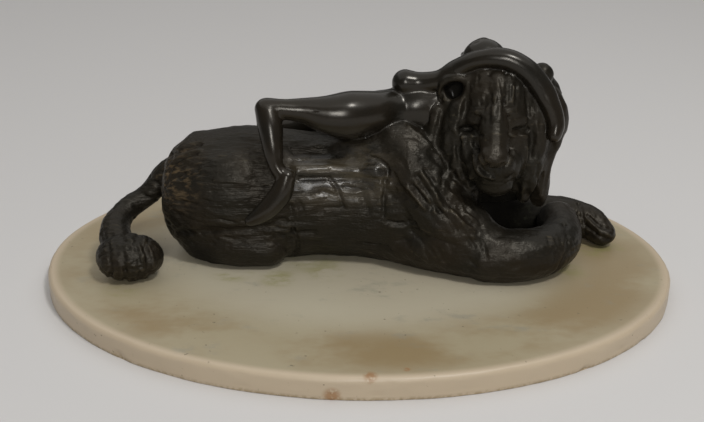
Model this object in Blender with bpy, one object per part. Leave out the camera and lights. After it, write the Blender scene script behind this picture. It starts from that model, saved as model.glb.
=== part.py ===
"""A woman lying along the back of a resting lion, cast in bronze, on an oval marble base.

The frame: metres, +Z up, the origin at the middle of the marble's underside, +X towards the
lion's head, and -Y towards the side that the lion looks to.

The bronze is modelled as its maker would model the clay: limbs are round sections threaded on a
smooth path, masses are balls, they are fused and smoothed, and the carving is drawn on with
strokes. The figure's places and sizes are shares of its own length: one unit is a 467th of it.
"""
import bmesh
import bpy
import numpy as np
from mathutils import Matrix, Vector

# Driving dimensions of the marble base and of the figure on it
BASE_LENGTH = 0.560
BASE_WIDTH = 0.420
BASE_THICKNESS = 0.019
BASE_TOP_ROUND = 0.006
BASE_FOOT_CHAMFER = 0.0012
BASE_CORNERS = 88
BASE_ROUND_STEPS = 3

FIGURE_LENGTH = 0.467
SEAT_GAP = 0.0003

UNIT = FIGURE_LENGTH / 467

# How finely the clay is fused, smoothed and reduced
CLAY_GRAIN = 2.0
FINE_GRAIN = 1.7
MASS_SMOOTHING = 10
LION_SMOOTHING = 3
WOMAN_SMOOTHING = 2
SEAM_SMOOTHING = 1
FIGURE_TRIANGLES = 8800
LIMB_SIDES = 20
LIMB_STEPS = 4
BALL_DIVISIONS = 3
DOME_ANGLES = (75, 50, 25)

# Lines and places that several shapes share
SPINE_Y = 9
FACE_X = 109
TAIL = [(-158, 17, 76, 14), (-174, 17, 69, 12.5), (-186, 15, 57, 11), (-197, 10, 48, 10),
        (-208, 2, 42, 10), (-214, -8, 37, 11), (-216, -20, 33, 12.5), (-214, -32, 28, 14),
        (-207, -43, 24, 13)]
TUFT = (-198, -53, 19)
MANE_AXIS = (118, 20)
MANE_LOCKS = [[(88, -14, 158, 8), (81, -19, 140, 10), (78, -22, 120, 10), (81, -24, 102, 10),
               (88, -25, 84, 9), (96, -25, 72, 7)],
              [(66, -6, 142, 9), (64, -10, 124, 10), (70, -16, 104, 10), (78, -21, 88, 9)],
              [(138, -15, 164, 8), (146, -17, 148, 9), (150, -19, 126, 10), (147, -21, 104, 10),
               (144, -22, 84, 9), (142, -20, 68, 7)],
              [(160, -4, 154, 10), (168, -6, 132, 10), (161, -8, 110, 10), (157, -9, 90, 9.5),
               (157, -8, 70, 9), (158, -6, 58, 7)]]
HEAD_MIDDLE = Vector((105, 18, 179))
HEAD_DOWN = Vector((-0.97, 0.0, -0.24)).normalized()
HEAD_OUT = Vector((-0.06, 0.97, 0.24)).normalized()

BRONZE_COLOUR = (0.035, 0.029, 0.023, 1.0)
BRONZE_ROUGHNESS = 0.38
MARBLE_COLOUR = (0.66, 0.62, 0.54, 1.0)
MARBLE_ROUGHNESS = 0.35


# Clay tools

def smooth_path(stations, steps):
    """Rows between the given ones on a Catmull-Rom curve, places and radii alike."""
    rows = np.array(stations, float)
    padded = np.vstack([2 * rows[0] - rows[1], rows, 2 * rows[-1] - rows[-2]])
    path = []
    for before, start, end, after in zip(padded, padded[1:], padded[2:], padded[3:]):
        for t in np.arange(steps) / steps:
            path.append(0.5 * (2 * start + (end - before) * t
                               + (2 * before - 5 * start + 4 * end - after) * t ** 2
                               + (3 * start - before - 3 * end + after) * t ** 3))
    path.append(rows[-1])
    return np.array(path)


def domed_ends(path, fullness):
    """The path with shrinking sections added past both ends, so that the limb ends in domes."""
    def dome(end, inner):
        outward = end[:3] - inner[:3]
        outward /= np.linalg.norm(outward)
        reach = fullness * min(end[3], end[4])
        for angle in np.radians(DOME_ANGLES):
            place = end[:3] + outward * reach * np.cos(angle)
            yield np.append(place, end[3:] * np.sin(angle))

    first = list(dome(path[0], path[1]))[::-1]
    last = list(dome(path[-1], path[-2]))
    return np.array(first + list(path) + last)


def add_limb(bm, stations, across=(0, 1, 0), fullness=1.0):
    """Thread oval sections on a path. A station is x, y, z, half width and half height, or one
    radius for both. The width lies as near to the across direction as the path lets it, and
    the fullness is how far the domed ends stand out, as a share of their radius."""
    rows = [row if len(row) == 5 else (*row, row[3]) for row in stations]
    path = domed_ends(smooth_path(rows, LIMB_STEPS), fullness)
    across = Vector(across)
    rings = []
    for index, (x, y, z, wide, high) in enumerate(path):
        before, after = path[max(index - 1, 0)], path[min(index + 1, len(path) - 1)]
        along = Vector(after[:3] - before[:3]).normalized()
        side = (across - along * across.dot(along)).normalized()
        across = side
        axes = Matrix((side * wide, along.cross(side) * high, along)).transposed()
        turn = Matrix.Translation((x, y, z)) @ axes.to_4x4()
        made = bmesh.ops.create_circle(bm, segments=LIMB_SIDES, radius=1, matrix=turn)["verts"]
        rings.append(list({edge for vert in made for edge in vert.link_edges}))
    for ring, following in zip(rings, rings[1:]):
        bmesh.ops.bridge_loops(bm, edges=ring + following)
    bmesh.ops.holes_fill(bm, edges=rings[0] + rings[-1], sides=LIMB_SIDES)


def add_ball(bm, place, radii, turn=(0, 0, 0)):
    """An oval ball, turned about X, Y and Z by the given degrees."""
    spin = Matrix.Identity(4)
    for angle, axis in zip(turn, "XYZ"):
        spin = Matrix.Rotation(np.radians(angle), 4, axis) @ spin
    sized = Matrix.Translation(place) @ spin @ Matrix.Diagonal((*radii, 1))
    bmesh.ops.create_icosphere(bm, subdivisions=BALL_DIVISIONS, radius=1, matrix=sized)


def clay_object(name, bm):
    """A new object from a bmesh, with its faces turned outwards."""
    bmesh.ops.recalc_face_normals(bm, faces=bm.faces)
    mesh = bpy.data.meshes.new(name)
    bm.to_mesh(mesh)
    bm.free()
    made = bpy.data.objects.new(name, mesh)
    bpy.context.collection.objects.link(made)
    return made


def settle(made):
    """Replace the object's mesh by the one that its modifiers give."""
    bpy.context.view_layer.update()
    graph = bpy.context.evaluated_depsgraph_get()
    shaped = bpy.data.meshes.new_from_object(made.evaluated_get(graph))
    made.modifiers.clear()
    worn = made.data
    made.data = shaped
    bpy.data.meshes.remove(worn)


def fuse(name, builders, parts, grain, smoothing):
    """Fuse what the builders add and the finished parts into one skin, and smooth it."""
    bm = bmesh.new()
    for build in builders:
        build(bm)
    for part in parts:
        bm.from_mesh(part.data)
        bpy.data.objects.remove(part)
    made = clay_object(name, bm)
    remesh = made.modifiers.new("Fuse", "REMESH")
    remesh.mode = "VOXEL"
    remesh.voxel_size = grain
    if smoothing:
        smooth = made.modifiers.new("Smooth", "SMOOTH")
        smooth.factor = 0.5
        smooth.iterations = smoothing
    settle(made)
    return made


# The lion's masses

def lion_body(bm):
    """The trunk from the rump to the chest: x, y, middle height, half width, half height."""
    add_limb(bm, [(-162, 11, 54, 38, 46), (-155, 10, 54, 44, 53), (-145, 10, 54, 48, 57),
                  (-126, 9, 54, 50.5, 60), (-100, 9, 55, 52, 61.5), (-72, 9, 55, 50, 60),
                  (-40, 9, 55, 46, 57), (-10, 9, 55, 45, 58), (20, 8, 54, 47, 60),
                  (48, 6, 51, 48, 59), (68, 8, 44, 42, 50), (84, 14, 36, 34, 38)], fullness=0.35)


def lion_haunches(bm):
    for side in (-1, 1):
        add_ball(bm, (-112, SPINE_Y + side * 25, 58), (52, 28, 48))
        add_limb(bm, [(-140, SPINE_Y + side * 20, 21, 22), (-112, SPINE_Y + side * 30, 20, 22),
                      (-82, SPINE_Y + side * 32, 19, 20)])


def lion_shoulders(bm):
    """Near side: the shoulder's crest runs down to the chest, and the upper arm lies back."""
    add_limb(bm, [(30, -8, 112, 22), (38, -13, 103, 25), (46, -18, 90, 26), (54, -22, 77, 26.5),
                  (62, -26, 64, 27), (74, -30, 51, 27), (88, -34, 41, 26), (102, -38, 30, 25),
                  (118, -43, 23, 23)])
    add_ball(bm, (26, -14, 76), (34, 23, 38))
    add_limb(bm, [(16, -6, 28, 22, 27), (40, -16, 27, 24, 27), (66, -28, 26, 25, 26),
                  (92, -38, 25, 24, 25), (112, -43, 24, 23, 24)])
    add_limb(bm, [(36, 26, 100, 24), (50, 32, 80, 28), (66, 38, 58, 29), (90, 44, 38, 26),
                  (116, 48, 24, 23)])


def lion_neck(bm):
    add_limb(bm, [(54, 14, 97, 36), (80, 18, 102, 37), (106, 14, 112, 38)])


def lion_mane(bm):
    add_limb(bm, [(116, 20, 162, 38, 24), (120, 20, 146, 54, 29), (120, 20, 134, 55, 30),
                  (119, 20, 118, 51, 31), (118, 21, 98, 47, 30), (118, 22, 76, 45, 28),
                  (118, 24, 58, 43, 22)], across=(1, 0, 0), fullness=0.5)
    for lock in MANE_LOCKS:
        add_limb(bm, lock, across=(1, 0, 0))


# The lion's features, set out from the upright line through the middle of its nose

def lion_skull(bm):
    middle = FACE_X + 4
    add_limb(bm, [(middle - 3, 3, 176, 26, 18), (middle - 3, -1, 166, 28, 25), (middle - 1, -7, 153, 29.5, 30),
                  (middle, -10, 134, 29.5, 31), (middle + 1, -13, 113, 27.5, 28),
                  (middle + 2, -17, 96, 23, 25), (middle + 2, -19, 86, 18, 21)],
             across=(1, 0, 0), fullness=0.5)


def lion_muzzle(bm):
    add_limb(bm, [(FACE_X, -22, 172, 4, 6), (FACE_X, -33, 158, 6, 6), (FACE_X, -40, 144, 11, 9),
                  (FACE_X, -47, 132, 12.5, 10), (FACE_X, -53, 122, 12.5, 10)], across=(1, 0, 0))
    add_ball(bm, (FACE_X, -58, 116), (13, 9, 9))
    add_ball(bm, (FACE_X + 2, -46, 103), (9, 9, 11))
    for side in (-1, 1):
        add_ball(bm, (FACE_X + 2 + side * 9, -46, 104), (8, 9, 11), (0, side * 18, 0))
        add_ball(bm, (FACE_X + 3 + side * 14, -38, 102), (9, 9, 15))
        add_ball(bm, (FACE_X + 4 + side * 17, -30, 117), (12, 10, 22))
    add_ball(bm, (FACE_X + 5, -42, 86), (16, 10, 9))


def lion_brow(bm):
    for side in (-1, 1):
        add_limb(bm, [(FACE_X + side * 7, -40, 147, 3.4), (FACE_X + 1 + side * 16, -36.5, 149, 3.8),
                      (FACE_X + 3 + side * 26, -27, 147, 3.8)], across=(0, 0, 1))


def lion_ears(bm):
    """The near ear is a cup with a rolled rim, the far one shows only its back."""
    rim = []
    for angle in np.radians(np.arange(0, 361, 45)):
        rim.append((77 + 9.5 * np.cos(angle), -10 - 2 * np.cos(angle), 158 + 9.5 * np.sin(angle), 4.2))
    add_limb(bm, rim)
    add_ball(bm, (78, -4, 158), (12, 6, 12))
    add_ball(bm, (154, 7, 168), (10.5, 8.5, 11))


def lion_forelegs(bm):
    add_limb(bm, [(110, -44, 22, 24), (132, -46, 22, 23), (156, -39, 22, 22), (177, -22, 23, 21),
                  (187, -2, 25, 19.5), (188, 16, 28, 19.5)], across=(0, 0, 1))
    add_limb(bm, [(112, 46, 22, 22), (140, 52, 21, 21), (170, 51, 20, 19.5), (190, 48, 19.5, 19),
                  (207, 43, 19, 17), (220, 35, 16, 15.5), (227, 26, 12, 12.5)], across=(0, 0, 1))


def lion_tail(bm):
    add_limb(bm, TAIL)
    add_ball(bm, TUFT, (29, 23, 20.5))


# The woman

def woman_trunk(bm):
    add_ball(bm, (-8, 8, 128), (24, 26, 17))
    add_limb(bm, [(-4, 8, 129, 22, 15), (14, 16, 134, 19, 15), (30, 24, 136, 19, 14),
                  (46, 30, 139, 22, 14), (58, 33, 141, 20, 13)])
    add_limb(bm, [(38, 4, 161, 11), (46, 18, 152, 12), (54, 34, 144, 13), (62, 50, 136, 12),
                  (68, 61, 131, 11)])
    add_limb(bm, [(24, 8, 138, 14), (46, 4, 140, 15), (68, 4, 142, 14)])
    for across in (24, 44):
        add_ball(bm, (42 + across / 8, across, 146), (10, 10, 8))


def woman_near_leg(bm):
    add_limb(bm, [(20, -2, 140, 12, 14), (8, -11, 139, 17, 18.5), (-10, -18, 138, 18, 20),
                  (-32, -23, 140, 15, 16), (-48, -26, 143.5, 10.5, 11.5), (-62, -28, 145.5, 8.5, 9),
                  (-80, -29, 146, 9.5, 9.5)])
    add_limb(bm, [(-79, -30, 144, 10), (-76, -36, 132, 10.5), (-74, -43, 118, 9),
                  (-71, -48, 104, 6.8), (-67, -50, 97, 7)], across=(1, 0, 0))
    add_limb(bm, [(-62, -51, 94, 8), (-66, -53, 82, 9.5), (-74, -55, 71, 9.5), (-84, -56, 62, 7.8),
                  (-93, -56, 56, 5)])


def woman_far_leg(bm):
    add_limb(bm, [(14, 22, 130, 14, 14), (-8, 30, 124, 18, 18), (-34, 42, 114, 15, 15),
                  (-56, 50, 106, 10.5), (-74, 53, 102, 9.5)])
    add_limb(bm, [(-74, 54, 101, 9.5), (-76, 60, 88, 10), (-74, 63, 72, 7.5), (-72, 64, 62, 6.8)],
             across=(1, 0, 0))
    add_limb(bm, [(-64, 64, 54, 7.5), (-72, 66, 44, 8), (-81, 67, 34, 7), (-92, 66, 24, 4.5)])


def woman_near_arm(bm):
    add_limb(bm, [(37, 4, 161, 11.5), (50, 3, 161, 9.5), (66, -1, 165, 9), (80, -5, 176, 8.5),
                  (98, -11, 186, 8.5), (119, -14, 187, 9.5), (137, -16, 178, 10), (150, -19, 163, 10),
                  (159, -23, 147, 9), (163, -26, 135, 8), (162, -30, 127, 6.5)])


def woman_far_arm(bm):
    add_limb(bm, [(68, 61, 131, 11), (82, 70, 124, 9), (98, 74, 120, 8.5), (112, 68, 128, 7.5),
                  (126, 58, 138, 7), (134, 50, 146, 7.5), (138, 46, 151, 6)])


def head_place(down, out, side):
    """A place in the woman's head: towards the chin, out of the face, and to one cheek."""
    place = HEAD_MIDDLE + down * HEAD_DOWN + out * HEAD_OUT + side * HEAD_DOWN.cross(HEAD_OUT)
    return tuple(place)


def woman_head(bm):
    """The head lies on its side with the crown to the lion's brow and the face to the far side."""
    add_limb(bm, [(58, 30, 144, 9), (74, 27, 154, 8.5), (90, 22, 166, 9)])
    add_ball(bm, HEAD_MIDDLE, (19.5, 17, 18.5))
    add_ball(bm, head_place(13, 9, 0), (7.5, 7, 7))
    add_limb(bm, [(*head_place(-2, 16, 0), 2.2), (*head_place(3, 18.5, 0), 2.6),
                  (*head_place(7, 20, 0), 3)])
    add_ball(bm, head_place(11.5, 16, 0), (2.5, 4, 4))


# Carving

def reach_of(points, path):
    """The distance of every point to a path of straight pieces."""
    nearest = np.full(len(points), np.inf)
    for start, end in zip(path, path[1:]):
        along = end - start
        share = np.clip((points - start) @ along / (along @ along), 0, 1)
        gap = np.linalg.norm(points - start - share[:, None] * along, axis=1)
        nearest = np.minimum(nearest, gap)
    return nearest


def carve(made, strokes):
    """Push the skin in along each stroke, or out where its depth is negative."""
    count = len(made.data.vertices)
    points = np.empty(count * 3)
    normals = np.empty(count * 3)
    made.data.vertices.foreach_get("co", points)
    made.data.vertices.foreach_get("normal", normals)
    points, normals = points.reshape(-1, 3), normals.reshape(-1, 3)
    push = np.zeros(count)
    for width, depth, stations in strokes:
        share = np.clip(reach_of(points, smooth_path(stations, LIMB_STEPS)) / width, 0, 1)
        push -= depth * (1 - share ** 2) ** 2
    made.data.vertices.foreach_set("co", (points + normals * push[:, None]).ravel())
    made.data.update()


def face_strokes():
    """Mouth, nose, eyes and brows. A stroke is a half width, a depth and the places that it runs
    through, each on the skin or a little outside it."""
    strokes = [(3.0, 2.8, [(FACE_X - 11, -46, 95), (FACE_X + 3, -55, 93), (FACE_X + 17, -46, 92)]),
               (2.4, 2.0, [(FACE_X + 1, -60, 108), (FACE_X + 3, -57, 97)]),
               (6.5, 4.0, [(76, -16, 159), (78, -16, 157)])]
    for side in (-1, 1):
        strokes.append((6.0, 2.4, [(FACE_X + side * 13, -43, 140), (FACE_X + 2 + side * 23, -35, 140)]))
        strokes.append((2.6, 2.6, [(FACE_X + side * 13, -41, 134), (FACE_X + 3 + side * 24, -34, 134)]))
        strokes.append((4.0, 1.8, [(FACE_X + side * 8, -37, 172), (FACE_X + side * 10, -40, 153)]))
        strokes.append((4.5, 1.5, [(FACE_X + side * 15, -45, 130), (FACE_X + side * 15, -50, 116)]))
    return strokes


def mane_strokes():
    """Upright grooves between the locks, round both sides of the mane."""
    strokes = []
    middle_x, middle_y = MANE_AXIS
    for index, angle in enumerate(np.radians(np.arange(42, 320, 14))):
        across, deep = np.sin(angle), -np.cos(angle)
        sway = 4 * (-1) ** index
        strokes.append((4.0, 2.6, [(middle_x + across * (reach - sway * lean), middle_y
                                    + deep * (reach * 0.6), height)
                                   for reach, lean, height in ((46, 0, 160), (54, 1, 128),
                                                               (52, -1, 98), (48, 1, 66))]))
    return strokes


def body_strokes():
    """The hollow behind the shoulder's crest, the haunch folds and the tail's creases."""
    strokes = [(6.0, 4.0, [(52, -10, 138), (67, -14, 122), (76, -18, 108), (83, -22, 94),
                           (89, -26, 82), (99, -28, 72)]),
               (5.0, 3.0, [(-60, -38, 62), (-58, -34, 45), (-62, -32, 28)]),
               (4.0, 2.0, [(-53, -38, 66), (-48, -34, 48), (-48, -28, 34)]),
               (6.0, 2.4, [(-156, -26, 38), (-118, -44, 40), (-84, -44, 38)]),
               (4.5, 2.2, [(-172, 4, 94), (-156, -14, 92), (-138, -28, 90)]),
               (4.0, 1.8, [(-174, -2, 82), (-160, -20, 78), (-146, -30, 74)])]
    for before, after in zip(TAIL[1:], TAIL[2:]):
        middle = (np.array(before) + np.array(after)) / 2
        x, y, z, radius = middle
        strokes.append((3.0, 1.6, [(x - radius, y, z + radius / 2), (x, y - radius, z),
                                   (x + radius, y, z - radius / 2)]))
    for offset in (-14, -2, 10, 19):
        ring = []
        for angle in np.radians(np.arange(60, 301, 30)):
            reach = np.sqrt(1 - (offset / 29) ** 2)
            ring.append((TUFT[0] + offset + 3 * np.cos(2 * angle),
                         TUFT[1] + 23 * reach * np.cos(angle), TUFT[2] + 20.5 * reach * np.sin(angle)))
        strokes.append((3.5, 1.8, ring))
    return strokes


def woman_strokes():
    """The eyes and the lips on the woman's face, and the hair's edge round it."""
    strokes = [(1.8, 1.0, [head_place(11.5, 20, -3), head_place(11.5, 20, 3)])]
    for side in (-1, 1):
        strokes.append((3.0, 1.6, [head_place(-1, 17, side * 4), head_place(-1, 15, side * 9)]))
    return strokes


# The base and the finished figure

def bronze():
    """Fuse the clay in three stages, so that the woman stays crisp on the soft lion."""
    masses = fuse("masses", [lion_body, lion_haunches, lion_shoulders, lion_neck, lion_mane],
                  [], CLAY_GRAIN, MASS_SMOOTHING)
    lion = fuse("lion", [lion_skull, lion_muzzle, lion_brow, lion_ears, lion_forelegs, lion_tail],
                [masses], CLAY_GRAIN, LION_SMOOTHING)
    woman = fuse("woman", [woman_trunk, woman_near_leg, woman_far_leg, woman_near_arm,
                           woman_far_arm, woman_head], [], FINE_GRAIN, WOMAN_SMOOTHING)
    group = fuse("bronze_woman_and_lion", [], [lion, woman], FINE_GRAIN, SEAM_SMOOTHING)
    carve(group, face_strokes() + mane_strokes() + body_strokes() + woman_strokes())
    reduce_to(group, FIGURE_TRIANGLES)
    stand_flat(group)
    return group


def reduce_to(made, triangles):
    made.data.calc_loop_triangles()
    thin = made.modifiers.new("Reduce", "DECIMATE")
    thin.ratio = min(1, triangles / len(made.data.loop_triangles))
    settle(made)


def stand_flat(made):
    """Cut the clay level where it stands on the base, close the cut, and size it in metres."""
    bm = bmesh.new()
    bm.from_mesh(made.data)
    everything = bm.verts[:] + bm.edges[:] + bm.faces[:]
    bmesh.ops.bisect_plane(bm, geom=everything, dist=1e-4, plane_co=(0, 0, 0), plane_no=(0, 0, 1),
                           clear_inner=True)
    rim = [edge for edge in bm.edges if edge.is_boundary]
    bmesh.ops.holes_fill(bm, edges=rim, sides=0)
    bmesh.ops.triangulate(bm, faces=bm.faces)
    bmesh.ops.recalc_face_normals(bm, faces=bm.faces)
    bmesh.ops.scale(bm, vec=(UNIT, UNIT, UNIT), verts=bm.verts)
    bm.to_mesh(made.data)
    bm.free()
    made.location.z = BASE_THICKNESS + SEAT_GAP


def marble():
    """The oval slab: an upright edge, a rounded rim and a narrow chamfer at the foot."""
    bm = bmesh.new()
    oval = Matrix.Diagonal((BASE_LENGTH / 2, BASE_WIDTH / 2, 1, 1))
    bmesh.ops.create_circle(bm, segments=BASE_CORNERS, radius=1, cap_ends=True, matrix=oval)
    raised = bmesh.ops.extrude_face_region(bm, geom=bm.faces[:])["geom"]
    top = [item for item in raised if isinstance(item, bmesh.types.BMVert)]
    bmesh.ops.translate(bm, verts=top, vec=(0, 0, BASE_THICKNESS))
    bmesh.ops.recalc_face_normals(bm, faces=bm.faces)
    level = BASE_THICKNESS / 2
    rim = [e for e in bm.edges if all(v.co.z > level for v in e.verts)]
    bmesh.ops.bevel(bm, geom=rim, offset=BASE_TOP_ROUND, segments=BASE_ROUND_STEPS, profile=0.5,
                    affect="EDGES")
    foot = [e for e in bm.edges if all(v.co.z < BASE_FOOT_CHAMFER / 2 for v in e.verts)]
    bmesh.ops.bevel(bm, geom=foot, offset=BASE_FOOT_CHAMFER, segments=1, profile=0.5,
                    affect="EDGES")
    return clay_object("marble_base", bm)


def finish(made, colour, roughness, metallic):
    skin = bpy.data.materials.new(made.name)
    skin.use_nodes = True
    shader = skin.node_tree.nodes["Principled BSDF"]
    shader.inputs["Base Color"].default_value = colour
    shader.inputs["Roughness"].default_value = roughness
    shader.inputs["Metallic"].default_value = metallic
    made.data.materials.clear()
    made.data.materials.append(skin)
    made.data.shade_smooth()
    made.data.set_sharp_from_angle(angle=np.radians(50))


def main():
    for old in list(bpy.data.objects):
        bpy.data.objects.remove(old)
    finish(bronze(), BRONZE_COLOUR, BRONZE_ROUGHNESS, 1.0)
    finish(marble(), MARBLE_COLOUR, MARBLE_ROUGHNESS, 0.0)


main()
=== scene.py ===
"""A woman lying along the back of a resting lion, cast in dark bronze, on an oval of marble.

The bronze is modelled as its maker would model the clay: limbs are sections threaded on a smooth
path, masses are balls, they are fused, smoothed and carved with strokes, and the skin keeps the
marks of thumb and knife. Its places are in millimetres from the middle of the marble's top.
Everything else is in metres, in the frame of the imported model.
"""

import bmesh
import bpy
import numpy as np
from mathutils import Matrix, Vector
from mathutils.bvhtree import BVHTree


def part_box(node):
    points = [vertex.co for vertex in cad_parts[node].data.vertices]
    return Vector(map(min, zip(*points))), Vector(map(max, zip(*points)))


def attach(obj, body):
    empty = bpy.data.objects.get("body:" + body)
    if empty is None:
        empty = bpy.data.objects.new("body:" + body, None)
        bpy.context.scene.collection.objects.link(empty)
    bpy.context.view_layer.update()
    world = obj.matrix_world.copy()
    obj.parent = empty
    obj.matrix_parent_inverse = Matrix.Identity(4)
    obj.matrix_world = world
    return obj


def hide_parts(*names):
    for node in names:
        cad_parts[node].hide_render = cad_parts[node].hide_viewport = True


bl_info = {
    "name": "Woman and lion on a marble oval",
    "version": (1, 0, 0),
    "blender": (4, 5, 0),
    "location": "3D View > Sidebar > Sculpture",
    "description": "Models a patinated bronze group and its stone base, with a studio to show it",
    "category": "Object",
}

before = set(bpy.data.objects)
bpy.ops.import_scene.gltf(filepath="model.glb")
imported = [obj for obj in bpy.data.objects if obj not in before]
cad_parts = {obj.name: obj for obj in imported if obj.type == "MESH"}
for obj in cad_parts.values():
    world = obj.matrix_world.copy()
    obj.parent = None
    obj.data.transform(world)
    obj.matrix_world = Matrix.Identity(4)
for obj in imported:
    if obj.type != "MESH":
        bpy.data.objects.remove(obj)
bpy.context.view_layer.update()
MARBLE_LOW, MARBLE_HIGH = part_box("marble_base")

# A millimetre of the figure in metres, and the height at which it stands
UNIT = 0.001
FIGURE_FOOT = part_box("bronze_woman_and_lion")[0][2]

# How the clay is fused: the grid of the broad masses, the woman's grid as a share of the lion's,
# and the smoothing passes of each stage
MASS_GRAIN = 2.0
WOMAN_GRAIN = 0.9
MASS_SMOOTHING = 10
LION_SMOOTHING = 10
BODY_SMOOTHING = 5
WOMAN_SMOOTHING = 2

# How limbs and balls are divided
LIMB_SIDES = 28
LIMB_STEPS = 6
BALL_DIVISIONS = 4
DOME_ANGLES = (75, 58, 40, 22, 8)

# How strokes are laid on the skin, and how chance ones waver in radians and bend in shares
RAY_START = 200
STROKE_STEPS = 4
STROKE_GAP = 40
STROKE_UNSTEADY = 0.12
STROKE_BEND = 0.1
NOISE_CELLS = 64

# How the finished skin is marked for its patina
WOMAN_REACH = 4.0
RELIEF_SOFTENING = 9
RELIEF_SPAN = 2.4

# The slab, in metres, and the angle in degrees from which its corners look sharp
SLAB_CORNERS = 420
SLAB_ROUND_STEPS = 7
SLAB_FOOT = 0.0012
SLAB_WALL_STEP = 0.002
SLAB_TOP_STEP = 0.010
SLAB_TOP_RINGS = 12
SHARP_ANGLE = 40

# Marks on the bronze, in metres: where hands have polished the flank and a highlight is painted there, where
# the tail's root is worn, and where shade is painted in the deepest hollows and how far it reaches
POLISHED_AND_HIGHLIGHT_SPOTS = [(-0.036, -0.035, 0.112), (0.000, -0.037, 0.112)]
POLISH_AND_HIGHLIGHT_REACH = (0.012, 0.038)
TAIL_ROOT = (-0.166, -0.020, 0.100)
WORN_REACH = (0.006, 0.045)
PAINTED_SHADE_SPOTS = [((0.080, -0.004, 0.178), 0.016), ((0.128, 0.012, 0.050), 0.048),
              ((0.152, 0.020, 0.045), 0.038), ((-0.145, -0.045, 0.022), 0.030),
              ((-0.010, -0.045, 0.128), 0.022)]

# Marks on the marble, in metres: where, how far they reach, and how strong
BLOOM_SPOTS = [((-0.112, -0.042, 0.019), 0.024, 0.8), ((-0.070, -0.052, 0.019), 0.022, 0.7),
               ((-0.030, -0.040, 0.019), 0.022, 0.6), ((-0.040, -0.010, 0.019), 0.045, 0.5),
               ((0.214, 0.012, 0.019), 0.020, 0.7), ((0.234, 0.018, 0.019), 0.018, 0.7),
               ((0.185, -0.030, 0.019), 0.022, 0.5), ((-0.200, -0.080, 0.019), 0.020, 0.4)]
RUST_SPOTS = [((0.008, -0.205, 0.018), 0.007), ((0.035, -0.196, 0.019), 0.0035),
              ((-0.020, -0.208, 0.004), 0.009)]

# The stage and the camera, in metres, degrees and pixels of the photograph
FLOOR_HALF = 4.0
FLOOR_ROUGHNESS = 0.9
LIGHT_AIM = (0, 0, 0.1)
KEY_PLACE = (0.75, -1.1, 2.1)
KEY_SIZE = (0.42, 0.34)
FRONT_PLACE = (0.1, -2.8, 1.3)
FRONT_SIZE = (0.35, 0.8)
TOP_PLACE = (0, 1.3, 2.6)
TOP_SIZE = (6, 6)
SKY_TINT = (1.0, 0.98, 0.95)
PHOTO_WIDTH = 704
SENSOR_WIDTH = 36
FOCAL_PIXELS = 998.9
CAMERA_AIM = (-0.00709, 0, 0.06152)
CAMERA_NEAR = 0.01
CAMERA_DISTANCE = 0.9
CAMERA_PITCH = 23.205
CAMERA_ROLL = 0.770

# Lines and places that several shapes share
SPINE_Y = 9
FACE_X = 109
TAIL = [(-158, 17, 76, 14), (-174, 17, 69, 12.5), (-186, 15, 57, 11), (-197, 10, 48, 10),
        (-208, 2, 42, 10), (-214, -8, 37, 11), (-216, -20, 33, 12.5), (-214, -32, 28, 14),
        (-207, -43, 24, 13)]
TUFT = (-198, -53, 19)
TUFT_RADII = (29, 23, 20.5)
MANE_AXIS = (118, 20)
MANE_LOCKS = [[(88, -14, 158, 8), (81, -19, 140, 10), (78, -22, 120, 10), (81, -24, 102, 10),
               (88, -25, 84, 9), (96, -25, 72, 7)],
              [(66, -6, 142, 9), (64, -10, 124, 10), (70, -16, 104, 10), (78, -21, 88, 9)],
              [(138, -15, 164, 8), (146, -17, 148, 9), (150, -19, 126, 10), (147, -21, 104, 10),
               (144, -22, 84, 9), (142, -20, 68, 7)],
              [(160, -4, 154, 10), (168, -6, 132, 10), (161, -8, 110, 10), (157, -9, 90, 9.5),
               (157, -8, 70, 9), (158, -6, 58, 7)]]
HEAD_MIDDLE = Vector((105, 18, 179))
HEAD_DOWN = Vector((-0.97, 0.0, -0.24)).normalized()
HEAD_OUT = Vector((-0.06, 0.97, 0.24)).normalized()


# Clay tools

def smooth_path(stations, steps):
    """Rows between the given ones on a Catmull-Rom curve, places and radii alike."""
    rows = np.array(stations, float)
    padded = np.vstack([2 * rows[0] - rows[1], rows, 2 * rows[-1] - rows[-2]])
    path = []
    for before, start, end, after in zip(padded, padded[1:], padded[2:], padded[3:]):
        for t in np.arange(steps) / steps:
            path.append(0.5 * (2 * start + (end - before) * t
                               + (2 * before - 5 * start + 4 * end - after) * t ** 2
                               + (3 * start - before - 3 * end + after) * t ** 3))
    path.append(rows[-1])
    return np.array(path)


def domed_ends(path, fullness):
    """The path with shrinking sections added past both ends, so that the limb ends in domes."""
    def dome(end, inner):
        outward = end[:3] - inner[:3]
        outward /= np.linalg.norm(outward)
        reach = fullness * min(end[3], end[4])
        for angle in np.radians(DOME_ANGLES):
            place = end[:3] + outward * reach * np.cos(angle)
            yield np.append(place, end[3:] * np.sin(angle))

    first = list(dome(path[0], path[1]))[::-1]
    last = list(dome(path[-1], path[-2]))
    return np.array(first + list(path) + last)


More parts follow.
